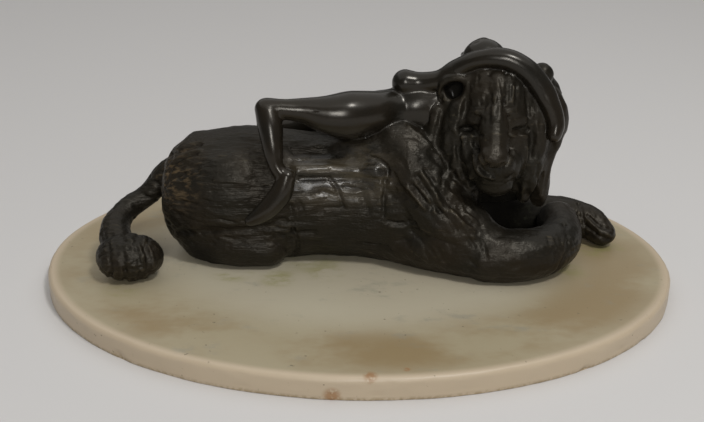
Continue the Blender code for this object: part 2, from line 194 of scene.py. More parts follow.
def add_limb(bm, stations, across=(0, 1, 0), fullness=1.0):
    """Thread oval sections on a path. A station is x, y, z, half width and half height, or one
    radius for both. The width lies as near to the across direction as the path lets it, and
    the fullness is how far the domed ends stand out, as a share of their radius."""
    rows = [row if len(row) == 5 else (*row, row[3]) for row in stations]
    path = domed_ends(smooth_path(rows, LIMB_STEPS), fullness)
    across = Vector(across)
    rings = []
    for index, (x, y, z, wide, high) in enumerate(path):
        before, after = path[max(index - 1, 0)], path[min(index + 1, len(path) - 1)]
        along = Vector(after[:3] - before[:3]).normalized()
        side = (across - along * across.dot(along)).normalized()
        across = side
        axes = Matrix((side * wide, along.cross(side) * high, along)).transposed()
        turn = Matrix.Translation((x, y, z)) @ axes.to_4x4()
        made = bmesh.ops.create_circle(bm, segments=LIMB_SIDES, radius=1, matrix=turn)["verts"]
        rings.append(list({edge for vert in made for edge in vert.link_edges}))
    for ring, following in zip(rings, rings[1:]):
        bmesh.ops.bridge_loops(bm, edges=ring + following)
    bmesh.ops.holes_fill(bm, edges=rings[0] + rings[-1], sides=LIMB_SIDES)


def add_ball(bm, place, radii, turn=(0, 0, 0)):
    """An oval ball, turned about X, Y and Z by the given degrees."""
    spin = Matrix.Identity(4)
    for angle, axis in zip(turn, "XYZ"):
        spin = Matrix.Rotation(np.radians(angle), 4, axis) @ spin
    sized = Matrix.Translation(place) @ spin @ Matrix.Diagonal((*radii, 1))
    bmesh.ops.create_icosphere(bm, subdivisions=BALL_DIVISIONS, radius=1, matrix=sized)


def clay_object(name, bm):
    """A new object from a bmesh, with its faces turned outwards."""
    bmesh.ops.recalc_face_normals(bm, faces=bm.faces)
    mesh = bpy.data.meshes.new(name)
    bm.to_mesh(mesh)
    bm.free()
    made = bpy.data.objects.new(name, mesh)
    bpy.context.collection.objects.link(made)
    return made


def settle(made):
    """Replace the object's mesh by the one that its modifiers give."""
    bpy.context.view_layer.update()
    graph = bpy.context.evaluated_depsgraph_get()
    shaped = bpy.data.meshes.new_from_object(made.evaluated_get(graph))
    made.modifiers.clear()
    worn = made.data
    made.data = shaped
    bpy.data.meshes.remove(worn)


def fuse(name, builders, parts, grain, smoothing):
    """Fuse what the builders add and the finished parts into one skin, and smooth it."""
    bm = bmesh.new()
    for build in builders:
        build(bm)
    for part in parts:
        bm.from_mesh(part.data)
        bpy.data.objects.remove(part)
    made = clay_object(name, bm)
    remesh = made.modifiers.new("Fuse", "REMESH")
    remesh.mode = "VOXEL"
    remesh.voxel_size = grain
    if smoothing:
        smooth = made.modifiers.new("Smooth", "SMOOTH")
        smooth.factor = 0.5
        smooth.iterations = smoothing
    settle(made)
    return made


# The lion's masses

def lion_body(bm):
    """The trunk from the rump to the chest: x, y, middle height, half width, half height."""
    add_limb(bm, [(-162, 11, 54, 38, 46), (-155, 10, 54, 44, 53), (-145, 10, 54, 48, 57),
                  (-126, 9, 54, 50.5, 60), (-100, 9, 55, 52, 61.5), (-72, 9, 55, 50, 60),
                  (-40, 9, 55, 46, 57), (-10, 9, 55, 45, 58), (20, 8, 54, 47, 60),
                  (48, 6, 51, 48, 59), (68, 8, 44, 42, 50), (84, 14, 36, 34, 38)], fullness=0.35)


def lion_haunches(bm):
    for side in (-1, 1):
        add_ball(bm, (-112, SPINE_Y + side * 25, 58), (52, 28, 48))
        add_limb(bm, [(-140, SPINE_Y + side * 20, 21, 22), (-112, SPINE_Y + side * 30, 20, 22),
                      (-82, SPINE_Y + side * 32, 19, 20)])


def lion_shoulders(bm):
    """Near side: the shoulder's crest runs down to the chest, and the upper arm lies back."""
    add_limb(bm, [(30, -8, 112, 22), (38, -13, 103, 25), (46, -18, 90, 26), (54, -22, 77, 26.5),
                  (62, -26, 64, 27), (74, -30, 51, 27), (88, -34, 41, 26), (102, -38, 30, 25),
                  (118, -43, 23, 23)])
    add_ball(bm, (26, -14, 76), (34, 23, 38))
    add_limb(bm, [(-34, 4, 90, 20), (-8, -2, 96, 22), (16, -6, 104, 22), (36, -10, 106, 22)])
    add_limb(bm, [(16, -6, 28, 22, 27), (40, -16, 27, 24, 27), (66, -28, 26, 25, 26),
                  (92, -38, 25, 24, 25), (112, -43, 24, 23, 24)])
    add_limb(bm, [(36, 26, 100, 24), (50, 32, 80, 28), (66, 38, 58, 29), (90, 44, 38, 26),
                  (116, 48, 24, 23)])


def lion_neck(bm):
    add_limb(bm, [(54, 14, 97, 36), (80, 18, 102, 37), (106, 14, 112, 38)])


def lion_mane(bm):
    add_limb(bm, [(116, 20, 162, 38, 24), (120, 20, 146, 54, 29), (120, 20, 134, 55, 30),
                  (119, 20, 118, 51, 31), (118, 21, 98, 47, 30), (118, 22, 76, 45, 28),
                  (118, 24, 58, 43, 22)], across=(1, 0, 0), fullness=0.5)
    for lock in MANE_LOCKS:
        add_limb(bm, lock, across=(1, 0, 0))


# The lion's features, set out from the upright line through the middle of its nose

def lion_skull(bm):
    add_limb(bm, [(FACE_X + 1, 3, 176, 26, 18), (FACE_X + 1, -1, 166, 28, 25),
                  (FACE_X + 3, -7, 153, 29.5, 30), (FACE_X + 4, -10, 134, 29.5, 31),
                  (FACE_X + 5, -13, 113, 27.5, 28), (FACE_X + 6, -17, 96, 23, 25),
                  (FACE_X + 6, -19, 86, 18, 21)], across=(1, 0, 0), fullness=0.5)


def lion_muzzle(bm):
    add_limb(bm, [(FACE_X, -22, 172, 4, 6), (FACE_X, -33, 158, 6, 6), (FACE_X, -40, 144, 11, 9),
                  (FACE_X, -47, 132, 12.5, 10), (FACE_X, -53, 122, 12.5, 10)], across=(1, 0, 0))
    add_ball(bm, (FACE_X - 1, -59, 117), (13.5, 10.5, 9.5))
    add_ball(bm, (FACE_X + 2, -46, 103), (9, 9, 11))
    for side in (-1, 1):
        add_ball(bm, (FACE_X + 2 + side * 9, -46, 104), (8, 9, 11), (0, side * 18, 0))
        add_ball(bm, (FACE_X + 3 + side * 14, -38, 102), (9, 9, 15))
        add_limb(bm, [(FACE_X + 3 + side * 18, -28, 126, 11, 8), (FACE_X + 3 + side * 18, -30, 108, 11, 8),
                      (FACE_X + 3 + side * 15, -30, 91, 10, 8)], across=(1, 0, 0), fullness=0.5)
    add_ball(bm, (FACE_X + 4, -40.5, 86), (15.5, 10, 9.5))
    add_ball(bm, (FACE_X + 3, -45.5, 94), (14, 7.5, 8))
    add_ball(bm, (FACE_X + 25, -14, 84), (10, 12, 16))
    add_ball(bm, (FACE_X + 33, -20, 126), (9, 10, 24))


def lion_brow(bm):
    for side in (-1, 1):
        add_limb(bm, [(FACE_X + side * 6, -39.5, 147, 3), (FACE_X + 1 + side * 15, -35, 148, 2.6),
                      (FACE_X + 3 + side * 26, -25, 141, 2.6)], across=(0, 0, 1))
        add_limb(bm, [(FACE_X + 1 + side * 12, -35, 141, 5), (FACE_X + 2 + side * 20, -30, 140, 5),
                      (FACE_X + 3 + side * 28, -23, 137, 4.5)], across=(0, 0, 1))


def lion_ears(bm):
    """The near ear is a cup with a rolled rim, the far one shows only its back."""
    rim = []
    for angle in np.radians(np.arange(0, 361, 45)):
        rim.append((79 + 12.5 * np.cos(angle), -12 - 3 * np.cos(angle), 159 + 11.5 * np.sin(angle), 3.4))
    add_limb(bm, rim)
    add_ball(bm, (80, 1, 159), (13.5, 6, 13))
    add_ball(bm, (154, 7, 168), (10.5, 8.5, 11))


def lion_forelegs(bm):
    add_limb(bm, [(110, -44, 22, 24), (132, -46, 22, 23), (156, -39, 22, 22), (174, -24, 23, 20),
                  (182, -4, 25, 18.5), (182, 16, 28, 18.5)], across=(0, 0, 1))
    add_limb(bm, [(112, 46, 22, 22), (140, 52, 21, 21), (170, 51, 20, 19.5), (190, 48, 19.5, 19),
                  (207, 43, 19, 17), (220, 35, 16, 15.5), (227, 26, 12, 12.5)], across=(0, 0, 1))


def lion_tail(bm):
    add_limb(bm, TAIL)
    add_ball(bm, TUFT, TUFT_RADII)


# The woman

def woman_trunk(bm):
    add_ball(bm, (-8, 8, 128), (24, 26, 17))
    add_limb(bm, [(-4, 8, 129, 22, 15), (14, 16, 134, 19, 15), (30, 24, 136, 19, 14),
                  (46, 30, 139, 22, 14), (58, 33, 141, 20, 13)])
    add_limb(bm, [(38, 4, 161, 11), (46, 18, 152, 12), (54, 34, 144, 13), (62, 50, 136, 12),
                  (68, 61, 131, 11)])
    add_limb(bm, [(14, 10, 132, 15, 19), (30, 6, 134, 16, 22), (48, 3, 136, 16, 24), (70, 3, 139, 13, 22)])
    for across in (24, 44):
        add_ball(bm, (42 + across / 8, across, 145), (12, 11, 8))


def woman_near_leg(bm):
    add_limb(bm, [(44, 3, 138, 11, 16), (24, -3, 138, 14, 17), (8, -11, 139, 17, 18.5),
                  (-10, -18, 138, 19, 21), (-30, -23, 140, 15.5, 16.5), (-48, -26, 144, 10, 11),
                  (-62, -28, 145.5, 8.5, 9), (-80, -29, 146, 9.5, 9.5)])
    add_limb(bm, [(-79, -30, 144, 10), (-76, -36, 132, 10.5), (-74, -43, 118, 9),
                  (-71, -48, 104, 6.8), (-67, -50, 97, 7)], across=(1, 0, 0))
    add_limb(bm, [(-62, -51, 94, 8), (-66, -53, 82, 9.5), (-74, -55, 71, 9.5), (-84, -56, 62, 7.8),
                  (-93, -56, 56, 5)])


def woman_far_leg(bm):
    add_limb(bm, [(14, 22, 130, 14, 14), (-8, 30, 124, 18, 18), (-34, 42, 114, 15, 15),
                  (-56, 50, 106, 10.5), (-74, 53, 102, 9.5)])
    add_limb(bm, [(-74, 54, 101, 9.5), (-76, 60, 88, 10), (-74, 63, 72, 7.5), (-72, 64, 62, 6.8)],
             across=(1, 0, 0))
    add_limb(bm, [(-64, 64, 54, 7.5), (-72, 66, 44, 8), (-81, 67, 34, 7), (-92, 66, 24, 4.5)])


def woman_near_arm(bm):
    add_limb(bm, [(37, 4, 161, 11.5), (50, 3, 161, 9.5), (66, -1, 165, 9), (80, -5, 176, 8.5),
                  (98, -11, 186, 8.5), (119, -14, 187, 9.5), (137, -16, 178, 10), (150, -19, 163, 10),
                  (159, -23, 147, 9), (163, -26, 135, 8), (162, -30, 127, 6.5)])


def woman_far_arm(bm):
    add_limb(bm, [(68, 61, 131, 11), (82, 70, 124, 9), (98, 74, 120, 8.5), (112, 68, 128, 7.5),
                  (126, 58, 138, 7), (134, 50, 146, 7.5), (138, 46, 151, 6)])


def head_place(down, out, side):
    """A place in the woman's head: towards the chin, out of the face, and to one cheek."""
    place = HEAD_MIDDLE + HEAD_DOWN * down + HEAD_OUT * out + HEAD_DOWN.cross(HEAD_OUT) * side
    return tuple(place)


def woman_head(bm):
    """The head lies on its side with the crown to the lion's brow and the face to the far side."""
    cheek = HEAD_DOWN.cross(HEAD_OUT)
    add_limb(bm, [(58, 30, 144, 9), (74, 27, 154, 8.5), (90, 22, 166, 9)])
    add_ball(bm, head_place(0, -1.5, 0), (19.5, 15.5, 18.5))
    add_limb(bm, [(*head_place(-8, 6, 0), 13, 11.5), (*head_place(2, 6.5, 0), 13, 11.5),
                  (*head_place(10, 7, 0), 10.5, 10), (*head_place(15, 9, 0), 6.5, 6.5)],
             across=cheek, fullness=0.6)
    add_limb(bm, [(*head_place(6, 3, -14), 3.4), (*head_place(-4, 8, -12), 3.6),
                  (*head_place(-11, 11.5, 0), 4), (*head_place(-4, 8, 12), 3.6),
                  (*head_place(6, 3, 14), 3.4)])
    for side in (-1, 1):
        add_ball(bm, head_place(-3.8, 14.6, side * 6), (2.6, 2.6, 4))
        add_ball(bm, head_place(5.5, 12.5, side * 7.5), (5, 4, 4))


def woman_face(bm):
    """Lids, nose, lips and chin: the eyes halfway down the head, the nose a quarter lower."""
    cheek = HEAD_DOWN.cross(HEAD_OUT)
    for side in (-1, 1):
        add_ball(bm, head_place(0.2, 14, side * 5.8), (2.4, 2, 3.2))
        add_ball(bm, head_place(6.6, 17.6, side * 2), (1.6, 1.6, 1.6))
    add_limb(bm, [(*head_place(-3.5, 16.6, 0), 1.6), (*head_place(1, 18, 0), 1.7),
                  (*head_place(5.8, 19.8, 0), 2.1)], across=cheek)
    for down, out, thick in ((10.2, 17, 1.2), (12.4, 16.6, 1.4)):
        add_limb(bm, [(*head_place(down, out - 1.4, -3.6), thick * 0.7), (*head_place(down, out, 0), thick),
                      (*head_place(down, out - 1.4, 3.6), thick * 0.7)])
    add_ball(bm, head_place(15.8, 13.2, 0), (3.2, 3.2, 4))


def woman_fingers(bm):
    """The far hand lies open on the mane."""
    add_ball(bm, (137, 49, 150), (7, 5.5, 6.5))
    for spread in (-6, -2, 2, 6):
        add_limb(bm, [(139, 49 - spread / 3, 151 + spread / 2, 2.2), (145, 47 - spread / 2, 154 + spread, 2),
                      (151, 42 - spread / 2, 155 + spread * 1.4, 1.7)])
    add_limb(bm, [(134, 48, 154, 2.2), (137, 44, 160, 1.9)])


# Carving

def read_skin(made):
    """The skin's points and the directions that they face."""
    count = len(made.data.vertices)
    points = np.empty(count * 3)
    normals = np.empty(count * 3)
    made.data.vertices.foreach_get("co", points)
    made.data.vertices.foreach_get("normal", normals)
    return points.reshape(-1, 3), normals.reshape(-1, 3)


def push_skin(made, points, normals, push):
    """Move each point along its own direction, outwards where the push is positive."""
    made.data.vertices.foreach_set("co", (points + normals * push[:, None]).ravel())
    made.data.update()


def reach_of(points, path):
    """The distance of every point to a path of straight pieces."""
    nearest = np.full(len(points), np.inf)
    for start, end in zip(path, path[1:]):
        along = end - start
        share = np.clip((points - start) @ along / (along @ along), 0, 1)
        gap = np.linalg.norm(points - start - share[:, None] * along, axis=1)
        nearest = np.minimum(nearest, gap)
    return nearest


def carve(made, strokes):
    """Push the skin in along each stroke, or out where its depth is negative. A stroke is a half
    width, a depth and the places that it runs through."""
    points, normals = read_skin(made)
    order = np.argsort(points[:, 0])
    sorted_x = points[order, 0]
    push = np.zeros(len(points))
    for width, depth, stations in strokes:
        path = smooth_path(stations, STROKE_STEPS)
        low, high = path.min(axis=0) - width, path.max(axis=0) + width
        first, last = np.searchsorted(sorted_x, (low[0], high[0]))
        near = order[first:last]
        near = near[((points[near] > low) & (points[near] < high)).all(axis=1)]
        share = np.clip(reach_of(points[near], path) / width, 0, 1)
        push[near] -= depth * (1 - share ** 2) ** 2
    push_skin(made, points, normals, push)


def skin_tree(made):
    return BVHTree.FromPolygons([v.co for v in made.data.vertices],
                                [p.vertices for p in made.data.polygons])


def lay_strokes(tree, strokes, facing):
    """Strokes given by X and Z alone, laid on the skin that shows from the front (-1) or from
    the back (1)."""
    laid = []
    for width, depth, stations in strokes:
        hits = [tree.ray_cast(Vector((x, facing * RAY_START, z)), Vector((0, -facing, 0)))[0]
                for x, z in stations]
        if all(hits) and max((a - b).length for a, b in zip(hits, hits[1:])) < STROKE_GAP:
            laid.append((width, depth, [tuple(hit) for hit in hits]))
    return laid


def scatter(seed, count, low, high, lean, length, width, depth):
    """Chance strokes over a patch of X and Z. The lean gives their slope in radians there."""
    chance = np.random.default_rng(seed)
    strokes = []
    for _ in range(count):
        middle = chance.uniform(low, high)
        angle = lean(*middle) + chance.normal(0, STROKE_UNSTEADY)
        along = np.array((np.cos(angle), np.sin(angle))) * chance.uniform(*length) / 2
        bend = np.array((-along[1], along[0])) * chance.normal(0, STROKE_BEND)
        strokes.append((chance.uniform(*width), chance.uniform(*depth),
                        [middle - along, middle + bend, middle + along]))
    return strokes


def grain(points, size, seed):
    """Soft noise from 0 to 1 whose cells have the given sizes along X, Y and Z."""
    table = np.random.default_rng(seed).random((NOISE_CELLS,) * 3)
    spot = points / np.array(size) + NOISE_CELLS
    cell = np.floor(spot).astype(int)
    share = spot - cell
    share = share * share * (3 - 2 * share)
    total = np.zeros(len(points))
    for corner in np.ndindex(2, 2, 2):
        weight = np.prod(np.where(corner, share, 1 - share), axis=1)
        total += weight * table[tuple(((cell + corner) % NOISE_CELLS).T)]
    return total


def ridged(values):
    """Turn noise into narrow ridges."""
    return 1 - np.abs(2 * values - 1)


def soft_step(values, start, end):
    """0 before the start and 1 after the end, with a soft rise between."""
    share = np.clip((values - start) / (end - start), 0, 1)
    return share * share * (3 - 2 * share)


def face_marks():
    """The carving of the lion's face: half width, depth, then X from the nose and Z."""
    marks = [
        # The mouth, the split lip, and the thin fold round the near side of the muzzle
        (2.0, 1.0, [(-13, 91), (-6, 92), (1, 92), (8, 92)]), (1.8, 0.5, [(8, 92), (14, 91), (20, 92)]),
        (2.0, 1.2, [(1, 102), (2, 95)]),
        (2.8, -2.2, [(-15, 112), (-13, 104), (-7, 98.5), (1, 96)]),
        (2.4, 2.2, [(-12, 112), (-10, 106), (-5, 102)]),
        # Under the nose, its nostrils, and the drop on either side of it
        (2.8, 3.0, [(-12, 118), (-8, 112), (-1, 108), (6, 110), (12, 117)]),
        (2.4, 1.6, [(-8, 114), (-6, 113)]), (2.4, 1.6, [(4, 113), (6, 114)]),
        (3.2, 1.4, [(-12, 144), (-14, 132), (-14, 120)]),
        (3.2, 1.4, [(11, 145), (13, 132), (14, 120)]),
        # The ridge from the forehead down the nose, and the furrows beside it
        (4.4, -1.6, [(1, 177), (1, 162), (-1, 146)]), (4.4, -1.6, [(5, 177), (5, 162), (3, 146)]),
        (4.0, -0.8, [(-2, 144), (-3, 126)]), (4.0, -0.8, [(2, 144), (2, 126)]),
        (2.2, 1.8, [(-4, 177), (-3, 156)]), (2.2, 1.8, [(9, 177), (8, 156)]),
        (2.2, 1.6, [(-13, 174), (-11, 154)]), (2.2, 1.2, [(19, 168), (18, 154)]),
        (2.0, -1.4, [(15, 168), (14, 157)]), (2.2, 1.2, [(-20, 168), (-19, 152)]),
        # Both flat cheeks end in an edge with a groove behind it
        (2.4, -1.4, [(29, 123), (30, 105), (26, 84)]),
        (2.6, -1.2, [(-24, 124), (-20, 105), (-16, 92)]),
        (3.2, 0.8, [(-30, 124), (-26, 104), (-22, 90)]),
        # The slits of the eyes, the hollows over them and the ledges below them
        (4.5, 0.8, [(-13, 142), (-22, 139)]), (4.5, 0.8, [(12, 143), (27, 139)]),
        (2.4, 2.8, [(-11, 133), (-18, 131.5), (-26, 131)]),
        (2.4, 3.2, [(11, 135), (20, 133.5), (31, 131)]),
        (2.6, -1.4, [(-13, 127), (-24, 125.5)]), (2.6, -1.4, [(14, 129), (30, 126)]),
        (2.2, -0.8, [(-9, 147), (-15, 148)]), (2.2, -0.8, [(6, 149), (14, 149.5)]),
        # The near ear's cup
        (10.0, 4.5, [(-31, 160), (-29, 159)])]
    return [(width, depth, [(FACE_X + x, z) for x, z in places]) for width, depth, places in marks]


def mane_strokes():
    """Upright grooves between the locks, round both sides of the mane."""
    strokes = []
    middle_x, middle_y = MANE_AXIS
    for index, angle in enumerate(np.radians(np.arange(38, 322, 9))):
        across, deep = np.sin(angle), -np.cos(angle)
        sway = 4 * (-1) ** index
        width, depth = 3.0 + index % 3 * 0.8, 1.1 + index % 4 * 0.4
        strokes.append((width, depth, [(middle_x + across * (reach - sway * lean),
                                        middle_y + deep * reach * 0.6, height)
                                       for reach, lean, height in ((46, 0, 160), (54, 1, 128),
                                                                   (52, -1, 98), (48, 1, 66))]))
    return strokes


def body_strokes():
    """The hollow behind the shoulder's crest, the haunch folds and the tail's creases."""
    strokes = [(6.0, 4.0, [(52, -10, 138), (67, -14, 122), (76, -18, 108), (83, -22, 94),
                           (89, -26, 82), (99, -28, 72)]),
               (5.0, 3.0, [(-60, -38, 62), (-58, -34, 45), (-62, -32, 28)]),
               (4.0, 2.0, [(-53, -38, 66), (-48, -34, 48), (-48, -28, 34)]),
               (6.0, 2.4, [(-156, -26, 38), (-118, -44, 40), (-84, -44, 38)]),
               (4.5, 2.2, [(-172, 4, 94), (-156, -14, 92), (-138, -28, 90)]),
               (4.0, 1.8, [(-174, -2, 82), (-160, -20, 78), (-146, -30, 74)])]
    for before, after in zip(TAIL[1:], TAIL[2:]):
        x, y, z, radius = (np.array(before) + np.array(after)) / 2
        strokes.append((3.0, 1.6, [(x - radius, y, z + radius / 2), (x, y - radius, z),
                                   (x + radius, y, z - radius / 2)]))
    long, deep, high = TUFT_RADII
    for offset in (-14, -2, 10, 19):
        reach = np.sqrt(1 - (offset / long) ** 2)
        strokes.append((3.5, 1.8, [(TUFT[0] + offset + 3 * np.cos(2 * angle),
                                    TUFT[1] + deep * reach * np.cos(angle),
                                    TUFT[2] + high * reach * np.sin(angle))
                                   for angle in np.radians(np.arange(60, 301, 30))]))
    return strokes


def woman_sockets():
    """The hollows of the eyes and below the lower lip."""
    strokes = [(2.4, 0.8, [head_place(13.8, 17, -2), head_place(13.8, 17, 2)])]
    for side in (-1, 1):
        strokes.append((3.4, 2.2, [head_place(0, 18, side * 3.6), head_place(0.2, 17, side * 8)]))
    return strokes


def woman_strokes():
    """The lowered lids, the line of the lips and the combed hair."""
    strokes = [(0.9, 0.8, [head_place(11.3, 17.2, -3.4), head_place(11.2, 18, 0),
                           head_place(11.3, 17.2, 3.4)])]
    for side in (-1, 1):
        strokes.append((0.9, 0.8, [head_place(1.4, 15.8, side * 3.4), head_place(2, 15.8, side * 6),
                                   head_place(1.2, 15, side * 8.8)]))
    for turn in np.radians(np.arange(-80, 81, 11)):
        strokes.append((1.3, 1.0, [head_place(-18, 6 * np.cos(turn), 6 * np.sin(turn)),
                                   head_place(-13, 14 * np.cos(turn), 12 * np.sin(turn)),
                                   head_place(-6, 15 * np.cos(turn) + 1, 16 * np.sin(turn)),
                                   head_place(6, 8 * np.cos(turn) - 4, 19 * np.sin(turn))]))
    return strokes


def from_tail(x, z):
    """The drags on the rump fan out from the tail's root."""
    return 0.7 * np.arctan2(z - 78, x + 190)


def level(x, z):
    return 0.0


def down_arm(x, z):
    return -0.85


def upright(x, z):
    return 1.57 + 0.004 * (x - MANE_AXIS[0])


def any_way(x, z):
    return x * z


def front_marks():
    """The marks that stand out on the near side: half width, depth, then X and Z."""
    return [
        # Folds where the tail leaves the rump
        (4.0, 2.4, [(-168, 94), (-157, 101), (-140, 107)]),
        (3.0, 2.0, [(-167, 84), (-155, 96), (-142, 102)]),
        (3.0, -1.6, [(-166, 88), (-154, 99), (-138, 104)]),
        (2.6, 1.6, [(-169, 74), (-158, 84), (-146, 88)]),
        (2.4, 1.4, [(-168, 62), (-154, 64), (-136, 62)]),
        (2.0, -1.2, [(-124, 85), (-102, 84), (-84, 80)]),
        # The folded hind leg, its knee, and the skin that pulls out of the fold
        (5.0, 2.0, [(-168, 31), (-148, 34), (-112, 39), (-84, 43), (-65, 48)]),
        (2.4, 1.4, [(-73, 49), (-60, 53)]), (2.4, 1.6, [(-72, 42), (-57, 41)]),
        (2.4, 1.6, [(-71, 36), (-58, 28)]), (2.4, 1.4, [(-75, 32), (-63, 17)]),
        (3.2, 2.4, [(-58, 40), (-54, 22), (-57, 8)]),
        # The flank: a hollow under the thigh, a ledge below it, and dents
        (9.0, 2.6, [(-56, 104), (-26, 104), (2, 106)]),
        (8.0, -3.4, [(-54, 92), (-18, 92), (12, 94)]),
        (3.4, 1.8, [(9, 104), (19, 100), (23, 93), (20, 86)]),
        (3.0, 1.6, [(-52, 85), (-18, 85), (14, 86)]),
        (4.0, 1.4, [(-13, 79), (-7, 77), (-1, 78)]), (4.0, 1.2, [(-33, 74), (-21, 70)]),
        (2.4, 1.8, [(-27, 86), (-20, 76), (-15, 62)]), (2.4, 1.2, [(-37, 60), (-13, 61)]),
        (6.0, 1.6, [(2, 72), (6, 60)]),
        # The flat of the upper arm and the folds in front of it
        (3.0, 2.0, [(22, 86), (20, 71), (20, 55)]), (3.0, 2.0, [(24, 50), (34, 49), (47, 52)]),
        (2.6, -1.2, [(25, 46), (36, 45), (47, 48)]),
        (2.4, -2.0, [(39, 84), (46, 76), (55, 67)]), (3.0, 2.2, [(43, 86), (51, 78), (60, 68)]),
        (3.0, 2.0, [(47, 94), (57, 81), (67, 65)]), (3.0, -1.6, [(51, 96), (62, 82), (72, 67)]),
        (3.0, 2.0, [(54, 98), (67, 82), (77, 69)]), (3.0, 1.6, [(60, 72), (74, 60), (81, 51)]),
        (4.0, -1.6, [(76, 66), (86, 57), (96, 46)]), (3.0, 1.4, [(83, 68), (92, 58), (100, 49)]),
        (2.6, 1.4, [(35, 32), (60, 41), (81, 37)]), (3.0, 1.2, [(94, 50), (103, 42), (107, 29)]),
        # The shoulder's crest, rubbed thin
        (4.0, -2.2, [(40, 128), (50, 122), (58, 114), (66, 104), (73, 94), (79, 83)]),
        # Where the paw turns under the wrist, and the toes of the far paw
        (3.4, 2.0, [(167, 8), (174, 18), (179, 30), (180, 42)]),
        (3.0, 2.0, [(206, 36), (209, 24), (212, 8)]),
        (2.6, 2.2, [(213, 29), (222, 22), (232, 20)]), (2.6, 2.2, [(212, 20), (222, 14), (232, 11)]),
        (2.2, -1.4, [(214, 25), (222, 19), (230, 16)]),
        # The band round the end of the tuft, and the rows of its hair
        (2.4, 2.0, [(-188, 38), (-181, 30), (-179, 20), (-185, 8)]),
        (2.2, -1.4, [(-184, 37), (-177, 29), (-175, 20), (-180, 9)]),
        (1.8, 1.2, [(-219, 31), (-205, 38), (-192, 37)]), (1.8, 1.2, [(-220, 26), (-205, 34), (-188, 32)]),
        (1.8, 1.2, [(-219, 17), (-201, 26), (-185, 24)]), (1.8, 1.2, [(-214, 10), (-198, 17), (-186, 14)])]


def lion_drags():
    """Chance drags of the modelling knife, those on the near side and those on the far side. A
    patch is a seed, a count, its low and high X and Z, the lean of its strokes, and the ranges
    of their length, half width and depth."""
    near, far = [], []
    for side, laid in enumerate((near, far)):
        for seed, *patch in (
                (10, 150, (-168, 20), (-72, 114), from_tail, (16, 56), (1.5, 2.6), (-0.5, 0.8)),
                (20, 80, (-72, 14), (34, 112), level, (8, 30), (1.8, 4.5), (-0.8, 1.1)),
                (30, 90, (22, 14), (104, 128), down_arm, (8, 26), (1.8, 4.0), (-0.9, 1.2)),
                (40, 50, (100, 4), (206, 46), level, (8, 26), (2.0, 4.0), (-0.5, 0.7)),
                (50, 150, (-228, 2), (-168, 40), any_way, (4, 10), (1.5, 2.6), (-0.8, 1.1)),
                (60, 50, (-222, 30), (-160, 90), down_arm, (5, 14), (2.0, 3.4), (-0.6, 1.2))):
            laid += scatter(seed + side, *patch)
    for patch in ((70, 64, (60, 66), (92, 156), upright, (10, 26), (2.6, 5.0), (-0.8, 1.3)),
                  (71, 80, (134, 50), (176, 168), upright, (10, 26), (2.4, 4.6), (-0.8, 1.5)),
                  (72, 46, (86, 150), (140, 178), upright, (8, 24), (1.5, 2.6), (-0.8, 1.0)),
                  (73, 30, (88, 78), (138, 122), upright, (5, 14), (1.5, 2.4), (-0.4, 0.5)),
                  (75, 16, (160, 26), (188, 46), upright, (6, 14), (1.6, 2.6), (-0.8, 1.1)),
                  (76, 30, (200, 5), (234, 36), down_arm, (4, 12), (1.6, 2.8), (-1.0, 1.4))):
        near += scatter(*patch)
    far += scatter(74, 190, (62, 46), (176, 172), upright, (14, 44), (2.2, 4.4), (-0.8, 2.0))
    return near, far


def lion_marks(made):
    """Lumps all over, long drags on the body, upright ones on the mane, and a clotted tuft."""
    points, normals = read_skin(made)
    x, y, z = points.T
    tuft = 1 - soft_step(np.linalg.norm((points - TUFT) / (1.2, 1, 1), axis=1), 24, 30)
    hair = soft_step(x, 68, 88) * soft_step(z, 50, 66) * (1 - soft_step(z, 154, 162)) * (1 - tuft)
    body = (1 - hair) * (1 - tuft)
    push = 1.4 * (grain(points, (15, 12, 12), 1) - 0.5) + 0.7 * (grain(points, (6, 6, 6), 2) - 0.5)
    push += body * 0.7 * (ridged(grain(points, (38, 3.4, 3.4), 3)) - 0.5)
    face = soft_step(-y, 24, 32) * soft_step(z, 76, 82) * soft_step(146 - x, 0, 8)
    push += hair * (1 - face) * 2.2 * (ridged(grain(points, (6, 6, 14), 5)) - 0.5)
    push += tuft * 0.9 * (ridged(grain(points, (3.2, 3.2, 3.2), 6)) - 0.5)
    push_skin(made, points, normals, push)
    tree = skin_tree(made)
    near, far = lion_drags()
    carve(made, lay_strokes(tree, face_marks() + front_marks() + near, -1) + lay_strokes(tree, far, 1))


def woman_marks(made):
    """The woman is smoothed by hand, with only faint unevenness."""
    points, normals = read_skin(made)
    push_skin(made, points, normals, 0.7 * (grain(points, (11, 11, 11), 7) - 0.5))


def stand_flat(made):
    """Cut the clay level where it stands on the marble, close the cut, and place it in metres."""
    bm = bmesh.new()
    bm.from_mesh(made.data)
    everything = bm.verts[:] + bm.edges[:] + bm.faces[:]
    bmesh.ops.bisect_plane(bm, geom=everything, dist=1e-4, plane_co=(0, 0, 0), plane_no=(0, 0, 1),
                           clear_inner=True)
    rim = [edge for edge in bm.edges if edge.is_boundary]
    bmesh.ops.holes_fill(bm, edges=rim, sides=0)
    bmesh.ops.triangulate(bm, faces=bm.faces)
    bmesh.ops.recalc_face_normals(bm, faces=bm.faces)
    bmesh.ops.scale(bm, vec=(UNIT, UNIT, UNIT), verts=bm.verts)
    bmesh.ops.translate(bm, vec=(0, 0, FIGURE_FOOT), verts=bm.verts)
    bm.to_mesh(made.data)
    bm.free()


def reduce_to(made, triangles):
    made.data.calc_loop_triangles()
    thin = made.modifiers.new("Reduce", "DECIMATE")
    thin.ratio = min(1, triangles / len(made.data.loop_triangles))
    settle(made)


